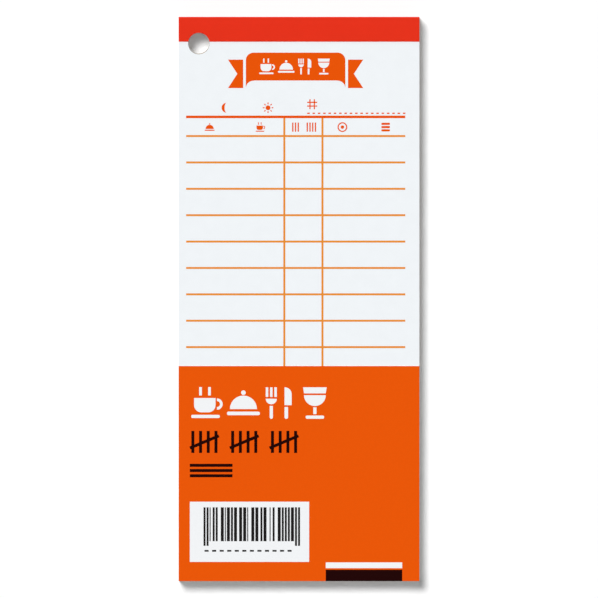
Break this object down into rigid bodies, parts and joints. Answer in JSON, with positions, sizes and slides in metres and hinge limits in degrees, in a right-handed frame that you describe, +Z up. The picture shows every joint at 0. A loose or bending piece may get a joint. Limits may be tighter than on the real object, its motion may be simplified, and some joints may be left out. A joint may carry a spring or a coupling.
{
  "type": "guest check pad",
  "caption": "Tall narrow pad of printed checks on a chipboard back, glued at the head, bound with tape and punched to hang.",
  "frame": {"origin": "middle of the pad's footprint, on the surface that its back lies on", "axes": "+Y along the pad towards its bound head, +Z up out of the printed face, +X to the right of the print"},
  "size_m": [0.075, 0.1758, 0.0099],
  "materials": {
    "chipboard": "matte",
    "check_paper": "matte",
    "cover_paper": "matte",
    "slip_paper": "matte",
    "tape_cloth": "matte",
    "padding_compound": "satin"
  },
  "bodies": {
    "pad": {"backing_board": "chipboard", "sheet_block": "check_paper", "padding_glue": "padding_compound", "binding_tape": "tape_cloth", "cover_head": "cover_paper"},
    "cover": {"cover_leaf": "cover_paper", "title_slip": "slip_paper"},
    "check_01": {"check_01": "check_paper"},
    "check_02": {"check_02": "check_paper"},
    "check_03": {"check_03": "check_paper"},
    "check_04": {"check_04": "check_paper"},
    "check_05": {"check_05": "check_paper"},
    "check_06": {"check_06": "check_paper"},
    "check_07": {"check_07": "check_paper"},
    "check_08": {"check_08": "check_paper"},
    "check_09": {"check_09": "check_paper"},
    "check_10": {"check_10": "check_paper"},
    "check_11": {"check_11": "check_paper"},
    "check_12": {"check_12": "check_paper"},
    "check_13": {"check_13": "check_paper"},
    "check_14": {"check_14": "check_paper"},
    "check_15": {"check_15": "check_paper"},
    "check_16": {"check_16": "check_paper"},
    "check_17": {"check_17": "check_paper"},
    "check_18": {"check_18": "check_paper"},
    "check_19": {"check_19": "check_paper"},
    "check_20": {"check_20": "check_paper"}
  },
  "joints": [
    {"name": "cover_flip", "type": "hinge", "parent": "pad", "child": "cover", "pos_m": [0, 0.08017, 0.00978], "axis": [-1, 0, 0], "range_deg": [0, 175]},
    {"name": "check_01_tear_off", "type": "slide", "parent": "pad", "child": "check_01", "axis": [0, -1, 0], "range_m": [0, 0.18]},
    {"name": "check_02_tear_off", "type": "slide", "parent": "pad", "child": "check_02", "axis": [0, -1, 0], "range_m": [0, 0.18]},
    {"name": "check_03_tear_off", "type": "slide", "parent": "pad", "child": "check_03", "axis": [0, -1, 0], "range_m": [0, 0.18]},
    {"name": "check_04_tear_off", "type": "slide", "parent": "pad", "child": "check_04", "axis": [0, -1, 0], "range_m": [0, 0.18]},
    {"name": "check_05_tear_off", "type": "slide", "parent": "pad", "child": "check_05", "axis": [0, -1, 0], "range_m": [0, 0.18]},
    {"name": "check_06_tear_off", "type": "slide", "parent": "pad", "child": "check_06", "axis": [0, -1, 0], "range_m": [0, 0.18]},
    {"name": "check_07_tear_off", "type": "slide", "parent": "pad", "child": "check_07", "axis": [0, -1, 0], "range_m": [0, 0.18]},
    {"name": "check_08_tear_off", "type": "slide", "parent": "pad", "child": "check_08", "axis": [0, -1, 0], "range_m": [0, 0.18]},
    {"name": "check_09_tear_off", "type": "slide", "parent": "pad", "child": "check_09", "axis": [0, -1, 0], "range_m": [0, 0.18]},
    {"name": "check_10_tear_off", "type": "slide", "parent": "pad", "child": "check_10", "axis": [0, -1, 0], "range_m": [0, 0.18]},
    {"name": "check_11_tear_off", "type": "slide", "parent": "pad", "child": "check_11", "axis": [0, -1, 0], "range_m": [0, 0.18]},
    {"name": "check_12_tear_off", "type": "slide", "parent": "pad", "child": "check_12", "axis": [0, -1, 0], "range_m": [0, 0.18]},
    {"name": "check_13_tear_off", "type": "slide", "parent": "pad", "child": "check_13", "axis": [0, -1, 0], "range_m": [0, 0.18]},
    {"name": "check_14_tear_off", "type": "slide", "parent": "pad", "child": "check_14", "axis": [0, -1, 0], "range_m": [0, 0.18]},
    {"name": "check_15_tear_off", "type": "slide", "parent": "pad", "child": "check_15", "axis": [0, -1, 0], "range_m": [0, 0.18]},
    {"name": "check_16_tear_off", "type": "slide", "parent": "pad", "child": "check_16", "axis": [0, -1, 0], "range_m": [0, 0.18]},
    {"name": "check_17_tear_off", "type": "slide", "parent": "pad", "child": "check_17", "axis": [0, -1, 0], "range_m": [0, 0.18]},
    {"name": "check_18_tear_off", "type": "slide", "parent": "pad", "child": "check_18", "axis": [0, -1, 0], "range_m": [0, 0.18]},
    {"name": "check_19_tear_off", "type": "slide", "parent": "pad", "child": "check_19", "axis": [0, -1, 0], "range_m": [0, 0.18]},
    {"name": "check_20_tear_off", "type": "slide", "parent": "pad", "child": "check_20", "axis": [0, -1, 0], "range_m": [0, 0.18]}
  ]
}
